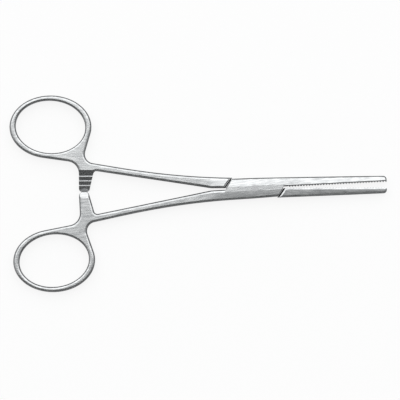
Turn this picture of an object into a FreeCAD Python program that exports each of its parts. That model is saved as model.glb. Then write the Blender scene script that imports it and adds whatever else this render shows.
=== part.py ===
import FreeCAD, Part
import math
import os

# Hemostat forceps with finger rings, a three step ratchet, a box lock and
# straight serrated jaws.  Two forged arms and one flush hinge pin.
# The arms are drawn in the closed pose, pivot on the Z axis, jaws toward +X,
# mid plane at z = 0, and are opened and lifted to the resting plane at the end.
# Lengths are millimetres and angles are degrees.

# Jaws, from the pivot axis to the tips
jaw_length = 49.0
jaw_mid_height = 2.8
jaw_tip_height = 2.05
jaw_tip_corner = 1.3
jaw_mid_thickness = 3.3
jaw_tip_thickness = 2.5
jaw_mid_crown = 6.5
jaw_tip_crown = 6.6
mouth_bevel = 0.55
mouth_bevel_angle = 28.0
serration_start = 12.2
serration_pitch = 1.05
serration_depth = 0.55

# Box lock
box_half_width = 3.8
box_half_length = 10.0
box_thickness = 4.2
box_crown = 18.0
box_land = 0.9
cheek_reach = 10.7
cheek_lean = 57.0
tenon_thickness = 1.5
tenon_hub_radius = 3.2
tenon_play = 0.05
wall_play = 0.1
shoulder_gap = 0.12
shoulder_slope = 0.5
shoulder_bevel = 0.45
shoulder_bevel_fall = 0.2
edge_break = 0.15
pin_radius = 1.25
pin_flare = 0.2
pin_flare_depth = 0.35
pin_play = 0.05

# Shanks
crotch_reach = 15.9
shank_splay = 8.7
shank_width = 2.6
shank_thickness = 3.2

# Finger rings
ring_reach = 75.45
ring_set_out = 13.84
ring_hole_length = 25.8
ring_hole_width = 19.4
ring_hole_tilt = -3.6
ring_bar_end = 2.25
ring_bar_side = 1.95
ring_thickness = 3.0
web_front_angle = 73.5
web_front_radius = 3.4
web_rear_angle = -8.2
web_rear_radius = 4.5

# Ratchet
ratchet_setback = 10.4
ratchet_width = 3.7
ratchet_lean = 13.3
tenon_bar_overlap = 1.35
box_bar_overlap = 1.9
ratchet_corner = 1.5
ratchet_root_radius = 1.25
ratchet_step_rise = 0.35
tooth_count = 3
tooth_first = 4.85
tooth_pitch = 1.7
tooth_depth = 0.45
tooth_rake = 0.2
tooth_land = 0.4
ratchet_play = 0.05
tenon_tip_lead = 0.5
box_tip_lead = 0.05
bar_tip_taper = 2.3
bar_tip_angle = 13.0

# Rounding of the rims: finger holes, rings with shanks, box with jaws
hole_round = 0.8
shank_round = 0.92
jaw_round = 0.9

# Play between the two arms at the parting line, and the angles of the hinge
parting_play = 0.05
rest_opening = 2.75
full_opening = 60.0

REACH = 3.0 * box_thickness
BEYOND = 4.0 * box_half_width
JOIN = box_half_length + 1.0
ALLOWANCE = serration_depth + 1.0
MID_HEIGHT = box_thickness / 2.0
RING_HALF_LENGTH = ring_hole_length / 2.0 + ring_bar_end
RING_HALF_WIDTH = ring_hole_width / 2.0 + ring_bar_side
ratchet_rear = ring_reach - ratchet_setback


def vec(x, y, z=0.0):
    return FreeCAD.Vector(x, y, z)


def direction(angle):
    return vec(math.cos(math.radians(angle)), math.sin(math.radians(angle)))


def face_of(points):
    corners = [vec(*p) for p in points]
    return Part.Face(Part.makePolygon(corners + corners[:1]))


def prism(face, low=-REACH, high=REACH):
    base = face.copy()
    base.translate(vec(0, 0, low))
    return base.extrude(vec(0, 0, high - low))


def shaft(radius, low=-REACH, high=REACH):
    return Part.makeCylinder(radius, high - low, vec(0, 0, low))


def arc_of(curve, start, end):
    return curve.toShape(curve.parameter(vec(*start)), curve.parameter(vec(*end)))


def smooth_curve(points):
    curve = Part.BSplineCurve()
    curve.interpolate([vec(*p) for p in points])
    return curve


def half_turn(shape):
    turned = shape.copy()
    turned.rotate(vec(0, 0), vec(0, 0, 1), 180)
    return turned


def shank_inner(x):
    return (-x - crotch_reach) * math.tan(math.radians(shank_splay))


RING_CENTRE = vec(-ring_reach, shank_inner(-ring_reach) + ring_set_out)


def ring_hole():
    outline = Part.Ellipse(RING_CENTRE, ring_hole_length / 2.0, ring_hole_width / 2.0).toShape()
    outline.rotate(RING_CENTRE, vec(0, 0, 1), ring_hole_tilt)
    return prism(Part.Face(Part.Wire([outline])))


def ring_tangent_point(angle):
    # Where a line at this angle touches the outer outline of the ring,
    # on the side that looks at the shank
    heading = math.radians(angle)
    turn = math.atan2(-RING_HALF_WIDTH * math.cos(heading), RING_HALF_LENGTH * math.sin(heading))
    return RING_CENTRE + vec(RING_HALF_LENGTH * math.cos(turn), RING_HALF_WIDTH * math.sin(turn))


def flank_points():
    # Outer edge of the arm from the web of the ring to the jaw tip
    rear, knee, middle, front = (f * ring_reach for f in (0.875, 0.743, 0.557, 0.371))
    return [
        (-rear, shank_inner(-rear) + 1.1 * shank_width),
        (-knee, shank_inner(-knee) + 1.04 * shank_width),
        (-middle, shank_inner(-middle) + shank_width),
        (-front, 0.62 * box_half_width + shank_width),
        (-JOIN, 1.045 * box_half_width),
        (0.0, box_half_width),
        (JOIN, 0.908 * box_half_width),
        (0.61 * jaw_length, jaw_mid_height),
        (jaw_length, jaw_tip_height),
    ]


def ratchet_right(y):
    # Leaning front edge of the ratchet bar
    return ratchet_width - ratchet_rear + (y + tenon_bar_overlap) * math.tan(math.radians(ratchet_lean))


def shank_root():
    # Where the front edge of the ratchet bar meets the inner edge of the shank
    lean, splay = math.tan(math.radians(ratchet_lean)), math.tan(math.radians(shank_splay))
    y = (-ratchet_right(0.0) - crotch_reach) * splay / (1.0 + lean * splay)
    return (ratchet_right(y), y)


def web_rear_corner():
    # Where the rear edge of the web meets the rear edge of the ratchet bar
    rear = ring_tangent_point(web_rear_angle)
    run = direction(web_rear_angle)
    corner = rear + run * ((-ratchet_rear - rear.x) / run.x)
    return (corner.x, corner.y)


def web_front_corner(flank):
    # Where the front edge of the web meets the outer edge of the shank
    front = ring_tangent_point(web_front_angle)
    line = Part.LineSegment(front, front - direction(web_front_angle) * ring_hole_width)
    corner = max(flank.intersectCC(line), key=lambda p: p.Y)
    return (corner.X, corner.Y)


def arm_plan(overlap):
    # Outline of a whole arm, its shank on the +Y side and its jaw on the -Y side;
    # the ratchet bar reaches past the parting line by the overlap
    upper = flank_points()
    lower = [(x, -y) for x, y in upper]
    flank, jaw = smooth_curve(upper), smooth_curve(lower)
    knee, root, rear = web_front_corner(flank), shank_root(), web_rear_corner()
    ring_front, ring_rear = ring_tangent_point(web_front_angle), ring_tangent_point(web_rear_angle)
    ring = Part.Ellipse(RING_CENTRE, RING_HALF_LENGTH, RING_HALF_WIDTH)
    start, end = ring.parameter(ring_front), ring.parameter(ring_rear)
    if end < start:
        end += 2.0 * math.pi
    curves = [ring.toShape(start, end), arc_of(flank, knee, upper[6]), arc_of(jaw, lower[4], lower[8])]
    corners = [(ring_rear.x, ring_rear.y), rear, (-ratchet_rear, -overlap),
               (ratchet_right(-overlap), -overlap), root, (-crotch_reach, 0.0), (-JOIN, 0.0), lower[4]]
    around = [lower[8], (jaw_length, ALLOWANCE), (JOIN, ALLOWANCE), upper[6]]
    for chain in (corners, around, [knee, (ring_front.x, ring_front.y)]):
        curves += [Part.makeLine(vec(*p), vec(*q)) for p, q in zip(chain, chain[1:])]
    plan = prism(Part.Face(Part.Wire(Part.__sortEdges__(curves))))
    rounded = [
        (knee, web_front_radius), (rear, web_rear_radius), (root, ratchet_root_radius),
        (lower[8], jaw_tip_corner), (corners[2], ratchet_corner), (corners[3], ratchet_corner)]
    for (x, y), radius in rounded:
        plan = plan.makeFillet(radius, [upright_edge_near(plan, x, y)])
    return plan


def upright_edge_near(shape, x, y):
    best, distance = None, 1e9
    for edge in shape.Edges:
        ends = edge.Vertexes
        if len(ends) == 2 and math.hypot(ends[0].X - ends[1].X, ends[0].Y - ends[1].Y) < 1e-6:
            gap = math.hypot(ends[0].X - x, ends[0].Y - y)
            if gap < distance:
                best, distance = edge, gap
    return best


def crowned_stations():
    # Along the arm from the ring over the shank and the box to the jaw tip: distance from
    # the pivot axis, half thickness, half width of the surface there, and its sink at that width
    ring, shank = ring_thickness / 2.0, shank_thickness / 2.0
    box = box_thickness / 2.0 + box_land ** 2 / (2.0 * box_crown)
    behind, near, far = box_half_length, 1.6 * box_half_width, 1.6 * ring_hole_length
    flat = [(-f * ring_reach, ring, far, 0.0) for f in (1.35, 1.1, 0.95, 0.8, 0.65)]
    flat += [(-0.5 * ring_reach, shank, 0.6 * far, 0.0), (-0.35 * ring_reach, shank, 0.4 * far, 0.0),
             (-2.0 * behind, 0.5 * (shank + box), 2.0 * near, 0.0)]
    sink = near ** 2 / (2.0 * box_crown)
    level = [(f * behind, box, near, sink) for f in (-1.3, -1.0, -0.5, 0.5, 1.0, 1.4)]
    return flat + level + [
        (0.61 * jaw_length, jaw_mid_thickness / 2.0, near, near ** 2 / (2.0 * jaw_mid_crown)),
        (jaw_length + 1.0, jaw_tip_thickness / 2.0, near, near ** 2 / (2.0 * jaw_tip_crown))]


def face_along_arm(lift=0.0, tilt=None):
    # The crowned face, or for a tilt the slope that follows the arm beside its parting line
    poles = []
    for x, t, wide, sink in crowned_stations():
        sink = 0.0 if tilt else sink
        poles.append([vec(x, y, t + bow * sink + lift + y * (tilt or 0.0))
                      for y, bow in ((-wide, -1), (0, 1), (wide, -1))])
    spans = len(poles) - 3
    surface = Part.BSplineSurface()
    surface.buildFromPolesMultsKnots(poles, [4] + [1] * (spans - 1) + [4], [3, 3],
                                     list(range(spans + 1)), [0, 1], False, False, 3, 2)
    return surface.toShape()


def upside_down(shape):
    return shape.mirror(vec(0, 0), vec(0, 0, 1))


def forging_stock(plan):
    # Leaves of a prism what lies between the crowned top and underside
    below_top = face_along_arm().extrude(vec(0, 0, -REACH))
    return plan.common(below_top).common(upside_down(below_top))


def above_land():
    # What is ground off the crown of the box, which leaves a flat land along its middle
    width = 2.0 * BEYOND
    return Part.makeBox(4.0 * BEYOND, width, REACH, vec(-2.0 * BEYOND, -width / 2.0, box_thickness / 2.0))


def is_rim(edge):
    # Rim edges run between a wall and the top or the underside; the ones left out
    # lie across the faces, or on stock that the parting cuts take away
    first, last = edge.ParameterRange
    middle = edge.valueAt((first + last) / 2.0)
    heading = edge.tangentAt((first + last) / 2.0)
    if abs(heading.z) > 0.9:
        return False
    if abs(abs(middle.x) - JOIN) < 1e-3:
        return False
    return not (middle.x > JOIN and abs(middle.y - ALLOWANCE) < 1e-3)


def on_jaw_side(edge):
    first, last = edge.ParameterRange
    middle = edge.valueAt((first + last) / 2.0)
    return middle.x > -JOIN and (middle.y < 0 or middle.x > jaw_length - 0.1)


def ring_hole_rims(blank):
    # The two closed edges where the finger hole meets the top and the underside
    reach = 0.5 * ring_hole_length + 0.01
    rims = []
    for edge in blank.Edges:
        points = edge.discretize(9)
        flat = max(p.z for p in points) - min(p.z for p in points) < 1e-4
        if flat and all(math.hypot(p.x - RING_CENTRE.x, p.y - RING_CENTRE.y) < reach for p in points):
            rims.append(edge)
    return rims


def arm_blank(overlap):
    # The forged arm before the box lock, the ratchet and the jaw faces are cut
    blank = forging_stock(arm_plan(overlap))
    for radius, jaw_side in ((shank_round, False), (jaw_round, True)):
        rims = [edge for edge in blank.Edges if is_rim(edge) and on_jaw_side(edge) == jaw_side]
        blank = blank.makeFillet(radius, rims)
    blank = blank.cut([ring_hole(), above_land(), upside_down(above_land())])
    return blank.makeFillet(hole_round, ring_hole_rims(blank))


def jaw_face_line(offset):
    # Cross cut serrations along the parting line, from the box to the jaw tips
    count = int((jaw_length - serration_start) / serration_pitch)
    start = jaw_length - count * serration_pitch
    points = [(start, offset)]
    for number in range(count):
        x = start + number * serration_pitch
        points.append((x + 0.25 * serration_pitch, offset + serration_depth / 2.0))
        points.append((x + 0.75 * serration_pitch, offset - serration_depth / 2.0))
    points.append((jaw_length, offset))
    points.append((jaw_length + 1.0, offset))
    return points


def cheek_x(y):
    # Slanting rear edge of the cheeks, in the closed pose
    return -cheek_reach + y / math.tan(math.radians(cheek_lean))


def along_cheek(profile, out, y_start, length, sink=0.0):
    # Extrudes a profile (distance out from the cheek edge, height) along that edge,
    # and lets it sink by this much for each millimetre of width
    outward, lean = direction(cheek_lean + 90), math.sin(math.radians(cheek_lean))
    origin = vec(cheek_x(y_start), y_start, -sink * y_start) + outward * out
    points = [origin + outward * n + vec(0, 0, z) for n, z in profile]
    path = direction(cheek_lean) * length + vec(0, 0, -sink * length * lean)
    return Part.Face(Part.makePolygon(points + points[:1])).extrude(path)


def box_fall():
    # Mean slope of the crowned box across its face, up to the rounded rim
    return (box_half_width - jaw_round) / (2.0 * box_crown)


def both_ends(shape):
    # The same cut at the two ends of the box, and on the underside
    turned = half_turn(shape)
    return [shape, turned, upside_down(shape), upside_down(turned)]


def mouth_bevels():
    # Slopes down from the faces of the jaw to its serrations, for the jaw on the +Y side
    tilt = math.tan(math.radians(mouth_bevel_angle))
    above = face_along_arm(-tilt * mouth_bevel, tilt).extrude(vec(0, 0, REACH))
    above = above.common(prism(face_of([
        (cheek_reach, -mouth_bevel), (jaw_length + 1.0, -mouth_bevel),
        (jaw_length + 1.0, box_half_width), (cheek_reach, box_half_width)])))
    return [above, upside_down(above)]


def ratchet_step():
    # Where the bar rises to its full thickness, beside the shank
    return shank_root()[1] + ratchet_step_rise


def across_bar(points):
    # A cut through the ratchet bar with this outline of (distance from parting line, height)
    left, right = -ratchet_rear - 1.5 * ratchet_width, ratchet_right(ratchet_step()) + 0.3
    corners = [vec(left, y, z) for y, z in points]
    return Part.Face(Part.makePolygon(corners + corners[:1])).extrude(vec(right - left, 0, 0))


def ratchet_cut(overlap, tip_lead):
    # Halves the ratchet bar and leaves the teeth: steep faces look at the root, and behind
    # their flat crests gentle slopes run down toward the tip, where the lead lets the
    # other bar slide on
    crest, floor = -ratchet_play, -ratchet_play - tooth_depth
    ramp = tooth_pitch - tooth_rake - tooth_land
    step, y = ratchet_step(), tooth_first
    profile = [(step, REACH), (step, floor + tooth_depth * (step - y - tooth_rake) / ramp)]
    for number in range(tooth_count):
        y = tooth_first - number * tooth_pitch
        profile += [(y + tooth_rake, floor), (y, crest), (y - tooth_land, crest)]
    profile += [(y - tooth_land - ramp, floor), (-overlap, floor - tip_lead)]
    profile += [(-overlap - 1.0, floor - tip_lead), (-overlap - 1.0, REACH)]
    return across_bar(profile)


def bar_tip_cut(overlap):
    # Tapers the outer face of the bar, which looks down, toward its tip
    half, run = ring_thickness / 2.0, bar_tip_taper + 1.0
    start, rise = bar_tip_taper - overlap, math.tan(math.radians(bar_tip_angle))
    end = start - run
    return across_bar([(start, -half), (end, rise * run - half), (end, -REACH), (start, -REACH)])


def hinge_pin_shape():
    # Riveted flush in both cheeks, flared where it fills their countersinks
    half, flare = box_thickness / 2.0, pin_radius + pin_flare
    outline = [(0, -half), (flare, -half), (pin_radius, pin_flare_depth - half),
               (pin_radius, half - pin_flare_depth), (flare, half), (0, half)]
    points = [vec(r, 0, z) for r, z in outline]
    pin = Part.Face(Part.makePolygon(points + points[:1])).revolve(vec(0, 0), vec(0, 0, 1), 360)
    return pin.common(forging_stock(shaft(2.0 * pin_radius)))


def box_arm_shape(blank, pin):
    # Female half: carries the slot, the cheeks and the jaw on the +Y side
    arm = blank.mirror(vec(0, 0), vec(0, 1, 0))
    seam = -parting_play
    beside_shank = face_of([
        (-JOIN - 6.0, seam), (cheek_x(seam), seam), (cheek_x(BEYOND), BEYOND), (-JOIN - 6.0, BEYOND)])
    below_jaw = face_of([(-cheek_x(seam), -seam)] + jaw_face_line(parting_play)
                        + [(jaw_length + 1.0, -BEYOND), (-cheek_x(BEYOND), -BEYOND)])
    arm = arm.cut([prism(beside_shank), prism(below_jaw)])

    # Slot for the tenon, with the walls that stop it at full opening
    hub = tenon_hub_radius + wall_play
    stop = direction(90 - full_opening) * hub
    run = direction(180 - full_opening)
    top = stop + run * ((BEYOND - stop.y) / run.y)
    wall = prism(face_of([(0, parting_play), (BEYOND, parting_play), (BEYOND, BEYOND),
                          (top.x, top.y), (stop.x, stop.y)])).cut(shaft(hub))
    half_slot = tenon_thickness / 2.0 + tenon_play
    slot = Part.makeBox(2 * BEYOND, 2 * BEYOND, 2 * half_slot, vec(-BEYOND, -BEYOND, -half_slot))
    slot = slot.cut([wall, half_turn(wall)])

    # Broken edges of the cheeks
    half = box_thickness / 2.0
    broken = along_cheek([(-edge_break, half + 0.01), (0.01, half - edge_break), (0.5, half - edge_break),
                          (0.5, half + 0.5), (-edge_break, half + 0.5)], 0.0, seam, BEYOND, box_fall())
    arm = arm.cut([slot, pin] + both_ends(broken))

    # Serrations' bevels and the ratchet, which is that of the other arm turned over about X
    cuts = mouth_bevels()
    for cut in (ratchet_cut(box_bar_overlap, box_tip_lead), bar_tip_cut(box_bar_overlap)):
        cuts.append(cut.mirror(vec(0, 0), vec(0, 1, 0)).mirror(vec(0, 0), vec(0, 0, 1)))
    return arm.cut(cuts)


def tenon_arm_shape(blank):
    # Male half: the tenon passes through the slot, the jaw is on the -Y side
    seam = parting_play
    hub = shaft(tenon_hub_radius)
    below_shank = prism(face_of([(-JOIN - 6.0, -BEYOND), (0, -BEYOND), (0, seam), (-JOIN - 6.0, seam)]))
    above_jaw = prism(face_of([(0, -seam)] + jaw_face_line(-seam)
                              + [(jaw_length + 1.0, BEYOND), (0, BEYOND)]))
    neck = face_of([(cheek_x(tenon_hub_radius), tenon_hub_radius), (0, tenon_hub_radius),
                    (0, BEYOND), (cheek_x(BEYOND), BEYOND)])
    cuts = [below_shank.cut(hub), above_jaw.cut(hub), prism(neck), half_turn(prism(neck))]

    # Shoulders slope down from the full thickness to the tenon, with a bevel at the top
    half_tenon, half = tenon_thickness / 2.0, box_thickness / 2.0
    steep = shoulder_slope / (half - shoulder_bevel_fall - half_tenon)
    above = REACH - half_tenon
    slope = along_cheek([(-BEYOND, half_tenon), (0, half_tenon), (steep * above, REACH), (-BEYOND, REACH)],
                        shoulder_gap, -BEYOND, 2 * BEYOND)
    top = half + shoulder_bevel_fall
    bevel = along_cheek([(0, half - shoulder_bevel_fall), (shoulder_slope, half - shoulder_bevel_fall),
                         (shoulder_slope + 2.0 * shoulder_bevel, top), (0, top)],
                        shoulder_gap, -1.0, BEYOND, box_fall())
    near_shank = prism(face_of([(-JOIN - 6.0, -BEYOND), (0, -BEYOND), (0, BEYOND), (-JOIN - 6.0, BEYOND)]))
    cuts += both_ends(slope.common(near_shank)) + both_ends(bevel)
    cuts += [cut.mirror(vec(0, 0), vec(0, 1, 0)) for cut in mouth_bevels()]
    cuts += [shaft(pin_radius + pin_play), ratchet_cut(tenon_bar_overlap, tenon_tip_lead)]
    return blank.cut(cuts)


def placed(shape, opening):
    # Opens an arm about the pivot and lifts the forceps onto the resting plane
    result = shape.copy()
    result.rotate(vec(0, 0), vec(0, 0, 1), opening)
    result.translate(vec(0, 0, MID_HEIGHT))
    return result


def main():
    pin = hinge_pin_shape()
    nodes = {
        "box_arm": placed(box_arm_shape(arm_blank(box_bar_overlap), pin), rest_opening / 2.0),
        "tenon_arm": placed(tenon_arm_shape(arm_blank(tenon_bar_overlap)), -rest_opening / 2.0),
        "hinge_pin": placed(pin, rest_opening / 2.0),
    }
    os.makedirs("parts", exist_ok=True)
    for name, shape in nodes.items():
        print(name, "valid", shape.isValid(), "solids", len(shape.Solids), "faces", len(shape.Faces),
              "volume", round(shape.Volume, 2))
        shape.exportStep("parts/" + name + ".step")


main()
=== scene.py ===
"""Studio scene of box-lock hemostat forceps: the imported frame, its steel finishes and its stage.

The script loads the frame's solids, gives each of them a procedural steel finish, lays them on a pale floor
under soft light, and looks straight down on them. Every length is in metres, in the frame's own coordinates:
X runs from the finger rings to the jaw tips, Z is up, and the floor is at Z = 0.
"""

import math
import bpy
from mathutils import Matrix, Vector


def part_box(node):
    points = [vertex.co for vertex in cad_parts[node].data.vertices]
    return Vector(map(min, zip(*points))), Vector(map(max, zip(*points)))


bl_info = {
    "name": "Hemostat Forceps Studio",
    "version": (1, 0, 0),
    "blender": (4, 5, 0),
    "location": "3D View > Sidebar > Forceps",
    "description": "Finishes box-lock forceps in satin steel and sets them on a pale studio floor",
    "category": "Object",
}

import bpy
import numpy as np

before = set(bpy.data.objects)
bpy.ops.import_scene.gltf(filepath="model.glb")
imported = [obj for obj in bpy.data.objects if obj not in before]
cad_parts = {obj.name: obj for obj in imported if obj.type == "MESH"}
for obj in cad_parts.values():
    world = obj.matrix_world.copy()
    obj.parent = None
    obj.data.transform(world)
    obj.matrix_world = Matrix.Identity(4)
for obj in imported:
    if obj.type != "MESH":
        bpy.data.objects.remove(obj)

# Each arm with the turn about Z that lays its brushing marks along it
ARMS = {"box_arm": math.radians(-5.0), "tenon_arm": math.radians(5.0)}
PIN = "hinge_pin"

# How far the normal points up or down where the brushed face turns into rounding, and rounding into flank.
# Roundings and flanks get painted dark reflections
BRUSHED_ABOVE, ROUNDED_BELOW = 0.84, 0.70
ROUNDED_ABOVE, FLANK_BELOW = 0.42, 0.1

# Open share of the surroundings where the painted crevice shade starts and where it is full
CREVICE_SHADE_START, CREVICE_SHADE_FULL = 0.75, 0.25

# Solid share inside the metal where the edge wear and painted highlight start and where they are full, and
# how much then shows
EDGE_WEAR_HIGHLIGHT_START, EDGE_WEAR_HIGHLIGHT_FULL, EDGE_WEAR_HIGHLIGHT_MOST = 0.88, 0.62, 0.8

# What crevices and flanks add to the roughness, and what rubbing takes from it
CREVICE_ROUGHER, FLANK_ROUGHER, RUBBED_SMOOTHER = 0.2, 0.12, 0.1

# Slow clouds in the arms' finish, and the fine marks' size and depth beside those of the coarse ones
CLOUDS_PER_METRE = 140.0
FINE_SCALE, FINE_DEPTH = 2.6, 0.3

# Scales at which the pin's turning marks wander and its finish clouds over, and its swing of roughness
WOBBLE_PER_METRE, WOBBLE_TURN = 2600.0, 5.0
PIN_CLOUDS_PER_METRE = 900.0
PIN_SMOOTHER, PIN_ROUGHER = 0.06, 0.08

# The floor's mottle, and the share of plain white in what the camera and reflections see of it
FLOOR_MOTTLE_PER_METRE, FLOOR_MOTTLE_SHADE = 9.0, 0.985
FLOOR_WHITE_SHARE = 0.85


# Settings

class ForcepsSteelSettings(bpy.types.PropertyGroup):
    """Satin finish of the two forged arms."""

    light_colour: bpy.props.FloatVectorProperty(
        name="Light steel", description="Colour of the steel where the satin finish is even",
        default=(0.69, 0.70, 0.702), size=3, min=0.0, max=1.0, subtype="COLOR")
    dark_colour: bpy.props.FloatVectorProperty(
        name="Dark steel", description="Colour of the steel in the duller clouds of the finish",
        default=(0.33, 0.34, 0.347), size=3, min=0.0, max=1.0, subtype="COLOR")
    # Painted dark reflection: the upright sides get a darker colour than the faces, standing in for the
    # darker surroundings they reflect
    flank_shade_colour: bpy.props.FloatVectorProperty(
        name="Flanks", description="Colour of the upright sides, which the polishing belt doesn't reach",
        default=(0.42, 0.425, 0.435), size=3, min=0.0, max=1.0, subtype="COLOR")
    # Painted dark reflection: the rounded edges get a near-black colour that stands in for the dark
    # surroundings they reflect
    round_shade_colour: bpy.props.FloatVectorProperty(
        name="Roundings", description="Colour of the rounded edges, where the tumbled skin is left",
        default=(0.09, 0.092, 0.095), size=3, min=0.0, max=1.0, subtype="COLOR")
    # Painted shade: narrow corners, between teeth and inside the joint, get a near-black colour that stands
    # in for the shade there
    crevice_shade_colour: bpy.props.FloatVectorProperty(
        name="Crevices", description="Colour of the film left between teeth and inside the joint",
        default=(0.06, 0.06, 0.062), size=3, min=0.0, max=1.0, subtype="COLOR")
    # Partly edge wear, partly painted highlight: sharp edges get a bright colour that also stands in for the
    # glints along them
    worn_and_highlight_colour: bpy.props.FloatVectorProperty(
        name="Worn edges", description="Colour of sharp edges that handling and closing have rubbed bright",
        default=(0.74, 0.745, 0.75), size=3, min=0.0, max=1.0, subtype="COLOR")
    grain_length: bpy.props.FloatProperty(
        name="Grain length", description="Length of the brushing marks along the arms",
        default=0.0036, min=0.0002, max=0.02, unit="LENGTH", precision=5)
    grain_width: bpy.props.FloatProperty(
        name="Grain width", description="Distance between brushing marks across the arms",
        default=0.00042, min=0.00005, max=0.005, unit="LENGTH", precision=5)
    grain_depth: bpy.props.FloatProperty(
        name="Grain depth", description="Depth of the brushing marks",
        default=0.00002, min=0.0, max=0.0002, unit="LENGTH", precision=6)
    smooth_roughness: bpy.props.FloatProperty(
        name="Smooth roughness", description="Roughness where the finish is rubbed smooth",
        default=0.2, min=0.02, max=1.0, subtype="FACTOR")
    satin_roughness: bpy.props.FloatProperty(
        name="Satin roughness", description="Roughness of the untouched satin finish",
        default=0.3, min=0.02, max=1.0, subtype="FACTOR")
    # How far the painted crevice shade spreads from a narrow corner
    crevice_shade_reach: bpy.props.FloatProperty(
        name="Crevice reach", description="How far the film spreads out of a narrow corner",
        default=0.0006, min=0.0001, max=0.01, unit="LENGTH", precision=5)
    # How far the bright colour of edge wear and painted highlight spreads from a sharp edge
    edge_reach: bpy.props.FloatProperty(
        name="Edge reach", description="How far the rubbed finish spreads from a sharp edge",
        default=0.00022, min=0.00002, max=0.005, unit="LENGTH", precision=5)


class ForcepsPinSettings(bpy.types.PropertyGroup):
    """Finish of the riveted hinge pin."""

    light_colour: bpy.props.FloatVectorProperty(
        name="Light steel", description="Colour of the pin's ends",
        default=(0.51, 0.515, 0.52), size=3, min=0.0, max=1.0, subtype="COLOR")
    dark_colour: bpy.props.FloatVectorProperty(
        name="Dark steel", description="Colour of the turning marks on the pin's ends",
        default=(0.42, 0.425, 0.435), size=3, min=0.0, max=1.0, subtype="COLOR")
    ring_spacing: bpy.props.FloatProperty(
        name="Ring spacing", description="Distance between turning marks",
        default=0.00018, min=0.00002, max=0.002, unit="LENGTH", precision=5)
    ring_depth: bpy.props.FloatProperty(
        name="Ring depth", description="Depth of the turning marks",
        default=0.000004, min=0.0, max=0.0001, unit="LENGTH", precision=6)
    roughness: bpy.props.FloatProperty(
        name="Roughness", description="Mean roughness of the ground ends",
        default=0.3, min=0.02, max=1.0, subtype="FACTOR")


class ForcepsStageSettings(bpy.types.PropertyGroup):
    """Camera, floor and light."""

    lens: bpy.props.FloatProperty(
        name="Lens", description="Focal length of the camera on a 36 mm sensor",
        default=200.0, min=20.0, max=1000.0, unit="CAMERA")
    framed_width: bpy.props.FloatProperty(
        name="Framed width", description="Width of what the camera sees at half the height of the joint",
        default=0.14816, min=0.01, max=2.0, unit="LENGTH", precision=5)
    aim: bpy.props.FloatVectorProperty(
        name="Aim", description="Point on the object that the camera looks down on",
        default=(-0.02030, -0.00381, 0.0021), size=3, subtype="TRANSLATION", unit="LENGTH", precision=5)
    turn: bpy.props.FloatProperty(
        name="Turn", description="How far the camera is turned about its own line of sight",
        default=math.radians(-1.6), subtype="ANGLE")
    floor_size: bpy.props.FloatProperty(
        name="Floor size", description="Length of each side of the floor",
        default=8.0, min=0.5, max=50.0, unit="LENGTH")
    floor_colour: bpy.props.FloatVectorProperty(
        name="Floor", description="Colour of the floor",
        default=(0.93, 0.93, 0.93), size=3, min=0.0, max=1.0, subtype="COLOR")
    room_colour: bpy.props.FloatVectorProperty(
        name="Room", description="Colour of the room's even light",
        default=(0.60, 0.606, 0.608), size=3, min=0.0, max=1.0, subtype="COLOR")
    softbox_light: bpy.props.FloatProperty(
        name="Softbox", description="Brightness of the large softbox behind the object, where 1 is white",
        default=1.26, min=0.0, max=20.0)
    softbox_place: bpy.props.FloatVectorProperty(
        name="Softbox place", description="Middle of the softbox, which faces the object",
        default=(0.0, 1.2, 1.7), size=3, subtype="TRANSLATION", unit="LENGTH")
    softbox_size: bpy.props.FloatVectorProperty(
        name="Softbox size", description="Width and height of the softbox",
        default=(4.6, 2.7), size=2, min=0.1, max=20.0, unit="LENGTH")
    card_corner: bpy.props.FloatVectorProperty(
        name="Card corner", description="Lower left corner of the card that darkens the lower edges",
        default=(-2.6, -1.7, 0.45), size=3, subtype="TRANSLATION", unit="LENGTH")
    card_across: bpy.props.FloatVectorProperty(
        name="Card across", description="From the card's corner along its lower edge",
        default=(5.2, 0.0, 0.0), size=3, subtype="TRANSLATION", unit="LENGTH")
    card_up: bpy.props.FloatVectorProperty(
        name="Card up", description="From the card's corner up its side",
        default=(0.0, 0.8, 1.77), size=3, subtype="TRANSLATION", unit="LENGTH")
    card_foot: bpy.props.FloatVectorProperty(
        name="Card foot", description="Colour of the card at its lower edge",
        default=(0.5, 0.5, 0.5), size=3, min=0.0, max=1.0, subtype="COLOR")
    card_dark: bpy.props.FloatVectorProperty(
        name="Card dark", description="Colour of the card above its graded foot",
        default=(0.12, 0.12, 0.12), size=3, min=0.0, max=1.0, subtype="COLOR")
    card_graded: bpy.props.FloatProperty(
        name="Card graded", description="Share of the card's height over which it darkens",
        default=0.36, min=0.01, max=1.0, subtype="FACTOR")


# Shapes and nodes that the operators share

def quad_sheet(name, origin, across, up):
    """A flat sheet: its point at (u, v) is the origin plus u times across plus v times up, each 0 to 1."""
    u, v = np.meshgrid((0.0, 1.0), (0.0, 1.0), indexing="ij")
    points = np.array(origin) + u[..., None] * np.array(across) + v[..., None] * np.array(up)
    mesh = bpy.data.meshes.new(name)
    mesh.from_pydata(points.reshape(-1, 3).tolist(), [], [(0, 2, 3, 1)])
    mesh.update()
    sheet = bpy.data.objects.new(name, mesh)
    bpy.context.scene.collection.objects.link(sheet)
    return sheet


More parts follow.
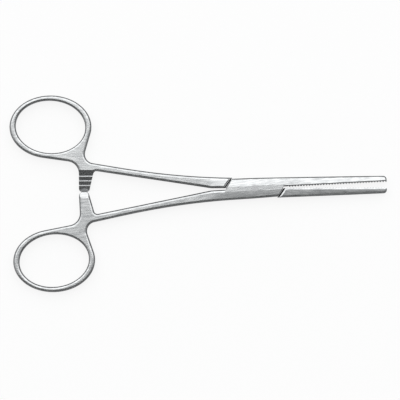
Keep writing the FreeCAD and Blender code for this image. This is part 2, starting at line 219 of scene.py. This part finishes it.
class Graph:
    """Short names for adding and joining the nodes of one material."""

    def __init__(self, name):
        self.material = bpy.data.materials.new(name)
        self.material.use_nodes = True
        self.nodes = self.material.node_tree.nodes
        self.links = self.material.node_tree.links
        self.nodes.clear()
        self.output = self.nodes.new("ShaderNodeOutputMaterial")

    def node(self, kind, inputs=(), **settings):
        """Adds a node and sets its properties, then its sockets: values are written and sockets linked."""
        made = self.nodes.new(kind)
        for name, value in settings.items():
            setattr(made, name, value)
        for key, value in dict(inputs).items():
            self.feed(made.inputs[key], value)
        return made

    def feed(self, socket, value):
        if isinstance(value, bpy.types.NodeSocket):
            self.links.new(value, socket)
        elif isinstance(socket.default_value, (int, float)):
            socket.default_value = value
        else:
            socket.default_value = tuple(value) if len(value) == len(socket.default_value) else (*value, 1.0)

    def math(self, operation, a, b=0.0, clamp=False):
        return self.node("ShaderNodeMath", {0: a, 1: b}, operation=operation, use_clamp=clamp).outputs[0]

    def spread(self, value, low, high, new_low=0.0, new_high=1.0):
        """Carries a value from one range to another, clamped at both ends."""
        return self.node("ShaderNodeMapRange", {"Value": value, "From Min": low, "From Max": high,
                                                "To Min": new_low, "To Max": new_high}).outputs["Result"]

    def blend(self, share, a, b):
        """Goes from the first colour to the second as the share rises."""
        made = self.node("ShaderNodeMix", data_type="RGBA")
        colours = [s for s in made.inputs if s.type == "RGBA"]
        self.feed(made.inputs["Factor"], share)
        self.feed(colours[0], a)
        self.feed(colours[1], b)
        return next(s for s in made.outputs if s.type == "RGBA")

    def object_point(self, stretch=(1.0, 1.0, 1.0), turn=(0.0, 0.0, 0.0)):
        """Object coordinates in metres, turned and then stretched."""
        place = self.node("ShaderNodeTexCoord").outputs["Object"]
        turned = self.node("ShaderNodeMapping", {"Vector": place, "Rotation": turn}).outputs["Vector"]
        return self.node("ShaderNodeMapping", {"Vector": turned, "Scale": stretch}).outputs["Vector"]

    def noise(self, vector, scale=1.0, detail=2.0, roughness=0.5):
        return self.node("ShaderNodeTexNoise", {"Vector": vector, "Scale": scale, "Detail": detail,
                                                "Roughness": roughness}).outputs["Fac"]

    def shelter(self, reach, inside=False):
        """Open share of what lies within reach outside the surface, or solid share inside it."""
        made = self.node("ShaderNodeAmbientOcclusion", {"Distance": reach}, samples=8, inside=inside)
        return made.outputs["AO"]

    def bump(self, height, depth, below=None):
        """Marks of this depth, over the marks below if there are any."""
        inputs = {"Height": height, "Distance": depth, "Strength": 1.0}
        if below is not None:
            inputs["Normal"] = below
        return self.node("ShaderNodeBump", inputs).outputs["Normal"]

    def steel(self, colour, roughness, normal):
        """Ends the graph in bare metal."""
        shader = self.node("ShaderNodeBsdfPrincipled", {
            "Base Color": colour, "Metallic": 1.0, "Roughness": roughness, "Normal": normal})
        self.links.new(shader.outputs["BSDF"], self.output.inputs["Surface"])
        return self.material


def finish_node(name, material):
    """Puts one material in every slot of a frame node."""
    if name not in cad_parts:
        raise RuntimeError(f"the frame has no node named {name}")
    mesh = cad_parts[name].data
    if not mesh.materials:
        mesh.materials.append(material)
    for i in range(len(mesh.materials)):
        mesh.materials[i] = material


# Finishes

def satin_steel(settings, name, arm_turn):
    """Forged steel, bead-blasted and then brushed along the arm, with painted shade in narrow corners.

    Brushing marks are noise drawn out along the arm; clouds of duller steel are slow noise; the painted
    shade lies where the steel closes off its near surroundings; roundings and flanks get painted dark
    reflections; sharp edges are made brighter and smoother, partly edge wear and partly painted highlight.
    """
    g = Graph(name)
    along = (1.0 / settings.grain_length, 1.0 / settings.grain_width, 1.0 / settings.grain_width)
    fine_along = tuple(FINE_SCALE * a for a in along)
    grain = g.noise(g.object_point(along, (0.0, 0.0, arm_turn)), 1.0, 3.0, 0.6)
    fine = g.noise(g.object_point(fine_along, (0.0, 0.0, arm_turn)), 1.0, 2.0, 0.5)
    clouds = g.noise(g.object_point(), CLOUDS_PER_METRE, 3.0, 0.55)

    # Masks: the painted crevice shade, the edge wear and painted highlight, and how far the surface has
    # turned away from level
    crevice_shade_mask = g.spread(g.shelter(settings.crevice_shade_reach), CREVICE_SHADE_START, CREVICE_SHADE_FULL)
    solid = g.shelter(settings.edge_reach, inside=True)
    # Edge wear and painted highlight: sharp edges, found from the solid share inside, get brighter and
    # smoother
    rubbed = g.spread(solid, EDGE_WEAR_HIGHLIGHT_START, EDGE_WEAR_HIGHLIGHT_FULL, 0.0, EDGE_WEAR_HIGHLIGHT_MOST)
    facing = g.node("ShaderNodeTexCoord").outputs["Normal"]
    level = g.math("ABSOLUTE", g.node("ShaderNodeSeparateXYZ", {0: facing}).outputs["Z"])
    flank = g.spread(level, ROUNDED_ABOVE, FLANK_BELOW)

    # Colour: brushed faces, then roundings and flanks painted darker as painted dark reflections, then
    # painted crevice shade, then edges brightened as wear and painted highlight. Noise keeps near the middle
    # of its range, so that part of it is what is spread; grain counts for more than clouds
    dull = g.math("ADD", g.spread(clouds, 0.35, 0.68, 0.04, 0.22), g.spread(grain, 0.36, 0.64, 0.11, 0.63),
                  clamp=True)
    polished = g.blend(dull, settings.light_colour, settings.dark_colour)
    # Painted dark reflections: near-black roundings and darker flanks
    sides = g.blend(flank, settings.round_shade_colour, settings.flank_shade_colour)
    steel = g.blend(g.spread(level, BRUSHED_ABOVE, ROUNDED_BELOW), polished, sides)
    # Painted crevice shade, then edge wear and painted highlight on sharp edges
    colour = g.blend(rubbed, g.blend(crevice_shade_mask, steel, settings.crevice_shade_colour), settings.worn_and_highlight_colour)

    # Roughness: uneven over the faces, more in crevices and on flanks, less where rubbed
    mixed = g.math("ADD", g.math("MULTIPLY", clouds, 0.35), g.math("MULTIPLY", fine, 0.65))
    even = g.spread(mixed, 0.35, 0.65, settings.smooth_roughness, settings.satin_roughness)
    added = g.math("ADD", g.math("MULTIPLY", crevice_shade_mask, CREVICE_ROUGHER), g.math("MULTIPLY", flank, FLANK_ROUGHER))
    taken = g.math("MULTIPLY", rubbed, RUBBED_SMOOTHER)
    roughness = g.math("SUBTRACT", g.math("ADD", even, added), taken, clamp=True)

    brushed = g.bump(grain, settings.grain_depth)
    return g.steel(colour, roughness, g.bump(fine, FINE_DEPTH * settings.grain_depth, brushed))


def pin_steel(settings):
    """Turned and ground steel: rings about the pin's axis, with slow clouds between light and dark."""
    g = Graph("pin_steel")
    low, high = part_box(PIN)
    centre = (low + high) / 2
    place = g.node("ShaderNodeTexCoord").outputs["Object"]
    flat = g.node("ShaderNodeMapping", {"Vector": place, "Location": (-centre.x, -centre.y, 0.0),
                                        "Scale": (1.0, 1.0, 0.0)}).outputs["Vector"]
    radius = g.node("ShaderNodeVectorMath", {0: flat}, operation="LENGTH").outputs["Value"]
    wobble = g.noise(place, WOBBLE_PER_METRE, 2.0, 0.5)
    phase = g.math("ADD", g.math("MULTIPLY", radius, 2 * math.pi / settings.ring_spacing),
                   g.math("MULTIPLY", wobble, WOBBLE_TURN))
    rings = g.spread(g.math("SINE", phase), -1.0, 1.0)
    clouds = g.noise(place, PIN_CLOUDS_PER_METRE, 2.0, 0.5)
    share = g.math("ADD", g.math("MULTIPLY", rings, 0.5), g.math("MULTIPLY", clouds, 0.5), clamp=True)
    colour = g.blend(share, settings.light_colour, settings.dark_colour)
    roughness = g.spread(clouds, 0.3, 0.7, settings.roughness - PIN_SMOOTHER,
                         settings.roughness + PIN_ROUGHER)
    return g.steel(colour, roughness, g.bump(rings, settings.ring_depth))


def pale_floor(settings):
    """Matt pale floor with a faint mottle, seen a little lighter by the camera and in reflections."""
    g = Graph("pale_floor")
    mottle = g.noise(g.object_point(), FLOOR_MOTTLE_PER_METRE, 2.0, 0.5)
    shade = tuple(FLOOR_MOTTLE_SHADE * c for c in settings.floor_colour)
    colour = g.blend(mottle, settings.floor_colour, shade)
    matt = g.node("ShaderNodeBsdfDiffuse", {"Color": colour}).outputs[0]
    white = g.node("ShaderNodeEmission", {"Color": (1.0, 1.0, 1.0), "Strength": 1.0}).outputs[0]
    path = g.node("ShaderNodeLightPath").outputs
    seen = g.math("MAXIMUM", g.math("MAXIMUM", path["Is Camera Ray"], path["Is Glossy Ray"]),
                  path["Is Transmission Ray"])
    share = g.math("MULTIPLY", seen, FLOOR_WHITE_SHARE)
    mixed = g.node("ShaderNodeMixShader", {0: share, 1: matt, 2: white}).outputs[0]
    g.links.new(mixed, g.output.inputs["Surface"])
    return g.material


# Operators

class FORCEPS_OT_stage(bpy.types.Operator):
    """Make the camera, the floor, the room's even light and the studio lights"""

    bl_idname = "forceps.stage"
    bl_label = "Stage"
    bl_options = {"REGISTER", "UNDO"}

    def execute(self, context):
        settings = context.scene.forceps_stage
        scene = context.scene
        scene.view_settings.view_transform = "Standard"

        lens = bpy.data.cameras.new("top_camera")
        lens.lens = settings.lens
        lens.sensor_width = 36.0
        lens.clip_start, lens.clip_end = 0.01, 50.0
        camera = bpy.data.objects.new("top_camera", lens)
        scene.collection.objects.link(camera)
        distance = settings.framed_width * settings.lens / lens.sensor_width
        camera.location = (settings.aim[0], settings.aim[1], settings.aim[2] + distance)
        camera.rotation_euler = (0.0, 0.0, settings.turn)
        scene.camera = camera

        half = settings.floor_size / 2
        floor = quad_sheet("floor", (-half, -half, 0.0), (2 * half, 0.0, 0.0), (0.0, 2 * half, 0.0))
        floor.data.materials.append(pale_floor(settings))

        world = bpy.data.worlds.new("even_room")
        world.use_nodes = True
        background = world.node_tree.nodes["Background"]
        background.inputs["Color"].default_value = (*settings.room_colour, 1.0)
        background.inputs["Strength"].default_value = 1.0
        scene.world = world

        self.softbox(scene, settings)
        self.card(settings)
        return {"FINISHED"}

    def softbox(self, scene, settings):
        """A rectangular lamp that faces the object; its power is brightness times pi times its area."""
        lamp = bpy.data.lights.new("softbox_back", "AREA")
        lamp.shape = "RECTANGLE"
        lamp.size, lamp.size_y = settings.softbox_size
        lamp.energy = settings.softbox_light * math.pi * lamp.size * lamp.size_y
        box = bpy.data.objects.new("softbox_back", lamp)
        scene.collection.objects.link(box)
        x, y, z = settings.softbox_place
        box.location = (x, y, z)
        box.rotation_euler = (math.atan2(math.hypot(x, y), z), 0.0, math.atan2(x, -y))
        box.visible_camera = False

    def card(self, settings):
        """A matt card that the steel reflects on its lower edges: dark above, and grey toward the floor."""
        foot, rise = settings.card_corner[2], settings.card_graded * settings.card_up[2]
        card = quad_sheet("dark_flag_front", settings.card_corner, settings.card_across, settings.card_up)
        g = Graph("dark_flag_front")
        height = g.node("ShaderNodeSeparateXYZ", {0: g.object_point()}).outputs["Z"]
        shade = g.blend(g.spread(height, foot, foot + rise), settings.card_foot, settings.card_dark)
        matt = g.node("ShaderNodeBsdfDiffuse", {"Color": shade}).outputs[0]
        g.links.new(matt, g.output.inputs["Surface"])
        card.data.materials.append(g.material)
        card.visible_camera = False


class FORCEPS_OT_arms(bpy.types.Operator):
    """Give both forged arms their brushed satin finish"""

    bl_idname = "forceps.arms"
    bl_label = "Arms"
    bl_options = {"REGISTER", "UNDO"}

    def execute(self, context):
        settings = context.scene.forceps_steel
        for name, turn in ARMS.items():
            finish_node(name, satin_steel(settings, f"satin_steel_{name}", turn))
        return {"FINISHED"}


class FORCEPS_OT_pin(bpy.types.Operator):
    """Give the riveted hinge pin its turned and ground finish"""

    bl_idname = "forceps.pin"
    bl_label = "Hinge pin"
    bl_options = {"REGISTER", "UNDO"}

    def execute(self, context):
        finish_node(PIN, pin_steel(context.scene.forceps_pin))
        return {"FINISHED"}


class FORCEPS_PT_panel(bpy.types.Panel):
    """Forceps finishes and stage"""

    bl_idname = "FORCEPS_PT_panel"
    bl_label = "Forceps"
    bl_space_type = "VIEW_3D"
    bl_region_type = "UI"
    bl_category = "Forceps"

    def draw(self, context):
        parts = ((FORCEPS_OT_arms, context.scene.forceps_steel),
                 (FORCEPS_OT_pin, context.scene.forceps_pin),
                 (FORCEPS_OT_stage, context.scene.forceps_stage))
        for operator, settings in parts:
            box = self.layout.box()
            box.operator(operator.bl_idname)
            for name in settings.__annotations__:
                box.prop(settings, name)


CLASSES = (ForcepsSteelSettings, ForcepsPinSettings, ForcepsStageSettings,
           FORCEPS_OT_stage, FORCEPS_OT_arms, FORCEPS_OT_pin, FORCEPS_PT_panel)


def register():
    for made in CLASSES:
        bpy.utils.register_class(made)
    bpy.types.Scene.forceps_steel = bpy.props.PointerProperty(type=ForcepsSteelSettings)
    bpy.types.Scene.forceps_pin = bpy.props.PointerProperty(type=ForcepsPinSettings)
    bpy.types.Scene.forceps_stage = bpy.props.PointerProperty(type=ForcepsStageSettings)


def unregister():
    del bpy.types.Scene.forceps_stage, bpy.types.Scene.forceps_pin, bpy.types.Scene.forceps_steel
    for made in reversed(CLASSES):
        bpy.utils.unregister_class(made)


def main():
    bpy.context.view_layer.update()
    register()
    bpy.ops.forceps.stage()
    bpy.ops.forceps.arms()
    bpy.ops.forceps.pin()


if __name__ == "__main__":
    main()
